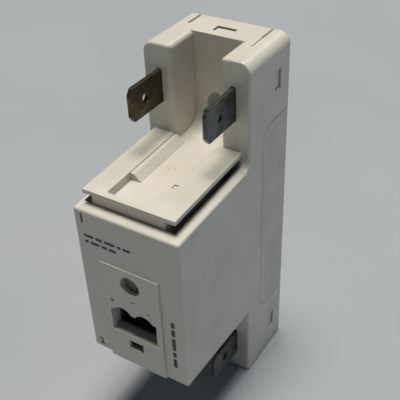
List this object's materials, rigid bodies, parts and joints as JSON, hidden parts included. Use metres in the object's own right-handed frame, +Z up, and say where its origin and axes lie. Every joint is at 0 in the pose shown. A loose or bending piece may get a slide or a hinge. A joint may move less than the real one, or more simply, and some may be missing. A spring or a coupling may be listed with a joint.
{
  "type": "solid state relay",
  "caption": "Slim panel-mount solid state relay: moulded housing with a deep front block, four quick-connect blades, a front control socket and a metal mounting face.",
  "frame": {"origin": "on the lower end face's plane, under the middle of the bounding box", "axes": "+Z up towards the line blades, -Y out of the front face with the control socket, +Y out of the metal mounting face, +X to the right seen from the front"},
  "size_m": [0.0212, 0.038, 0.0728],
  "materials": {
    "housing_plastic": "fine moulded texture, warm ivory grey",
    "carrier_plastic": "fine moulded texture, warm ivory grey",
    "base_metal": "milled face with fine lengthwise lines",
    "alumina": "fired, satin",
    "copper": "bare rolled copper",
    "silicon": "polished die",
    "tinned_brass": "tarnished tin over brass, stained and scratched",
    "circuit_board": "solder mask, satin",
    "header_plastic": "moulded black",
    "pin_metal": "tinned",
    "led_resin": "cast epoxy",
    "lens_plastic": "smoked translucent moulding",
    "chip_plastic": "moulded epoxy",
    "resistor_body": "glazed",
    "capacitor_case": "moulded box",
    "varistor_coat": "dipped epoxy",
    "gel": "soft clear silicone",
    "printing_ink": "black pad printing, rubbed"
  },
  "bodies": {
    "root": {"outer_housing": "housing_plastic", "rear_carrier": "carrier_plastic", "base_plate": "base_metal", "ceramic_substrate": "alumina", "line_track": "copper", "load_track": "copper", "gate_tracks": "copper", "line_thyristor": "silicon", "load_thyristor": "silicon", "line_strap": "copper", "load_strap": "copper", "line_terminal": "tinned_brass", "load_terminal": "tinned_brass", "control_board": "circuit_board", "header_insulator": "header_plastic", "control_pin_left": "pin_metal", "control_pin_right": "pin_metal", "indicator_led": "led_resin", "indicator_lens": "lens_plastic", "opto_driver": "chip_plastic", "opto_legs": "pin_metal", "chip_resistors": "resistor_body", "input_transistor": "chip_plastic", "protection_diode": "chip_plastic", "snubber_capacitor": "capacitor_case", "varistor": "varistor_coat", "gate_pins": "pin_metal", "potting_gel": "gel"}
  },
  "joints": []
}
